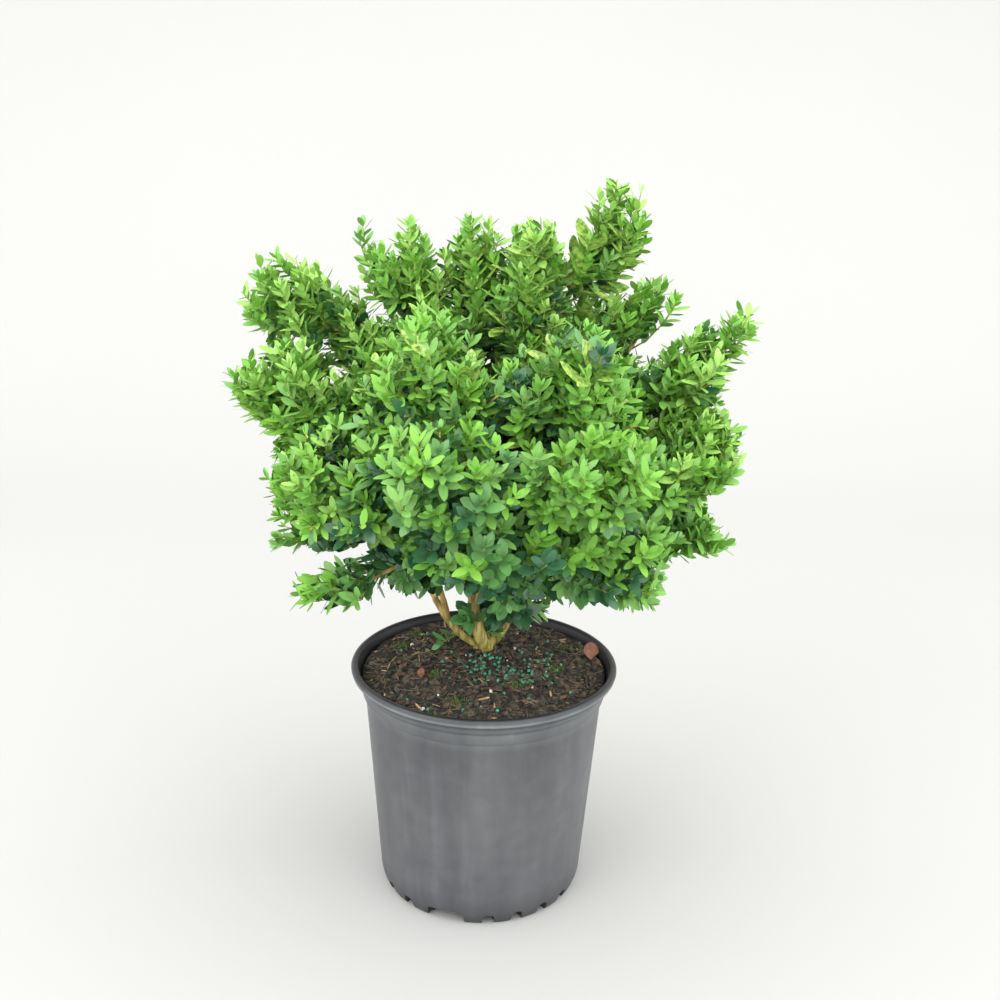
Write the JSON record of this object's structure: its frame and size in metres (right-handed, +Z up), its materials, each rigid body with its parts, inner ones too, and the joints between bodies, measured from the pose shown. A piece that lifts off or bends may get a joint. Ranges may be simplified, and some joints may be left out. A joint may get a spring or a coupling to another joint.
{
  "type": "potted green velvet boxwood",
  "caption": "Young green velvet boxwood with a dense rounded crown of small oval leaves on branching woody stems, standing in a black round nursery pot filled with bark mix.",
  "frame": {"origin": "middle of the pot's underside, on the floor it stands on", "axes": "+Z up along the pot's axis, +X to the right of the picture's view, and the side it shows faces -Y"},
  "size_m": [0.4246, 0.4007, 0.5918],
  "materials": {
    "pot": "thin moulded black plastic, lightly dusty, with a soft sheen",
    "soil": "loose damp bark mix",
    "stem": "tan young bark with shallow ridges",
    "bough": "greenish tan young bark",
    "foliage": "bright green leaves with a satin surface",
    "heart_foliage": "older dark green leaves with a gloss"
  },
  "bodies": {
    "root": {"pot": "pot", "soil": "soil", "trunk": "stem", "stem_left": "stem", "stem_middle": "stem", "stem_right": "stem", "stem_back": "stem", "bough_top_ridge": "bough", "bough_top_left": "bough", "bough_right_shoulder": "bough", "bough_right_upper": "bough", "bough_front_right_upper": "bough", "bough_front_left_upper": "bough", "bough_back_left_upper": "bough", "bough_right_side": "bough", "bough_front_right_side": "bough", "bough_front_left_side": "bough", "bough_left_side": "bough", "bough_left_front_side": "bough", "bough_back_left_side": "bough", "bough_back_right_side": "bough", "bough_right_low": "bough", "bough_front_right_low": "bough", "bough_front_low": "bough", "bough_front_left_low": "bough", "bough_left_low": "bough", "bough_back_low": "bough", "bough_heart_left": "bough", "bough_heart_middle": "bough", "bough_heart_right": "bough", "bough_heart_back": "bough", "foliage_top_right": "foliage", "foliage_top_ridge": "foliage", "foliage_top_middle": "foliage", "foliage_top_left": "foliage", "foliage_right_shoulder": "foliage", "foliage_right_upper": "foliage", "foliage_front_right_upper": "foliage", "foliage_front_left_upper": "foliage", "foliage_left_shoulder": "foliage", "foliage_back_left_upper": "foliage", "foliage_back_right_upper": "foliage", "foliage_right_side": "foliage", "foliage_front_right_side": "foliage", "foliage_front_left_side": "foliage", "foliage_left_side": "foliage", "foliage_left_front_side": "foliage", "foliage_back_left_side": "foliage", "foliage_back_right_side": "foliage", "foliage_right_low": "foliage", "foliage_front_right_low": "foliage", "foliage_front_low": "foliage", "foliage_front_left_low": "foliage", "foliage_left_low": "foliage", "foliage_back_low": "foliage", "foliage_heart_left": "heart_foliage", "foliage_heart_middle": "heart_foliage", "foliage_heart_right": "heart_foliage", "foliage_heart_back": "heart_foliage"}
  },
  "joints": []
}
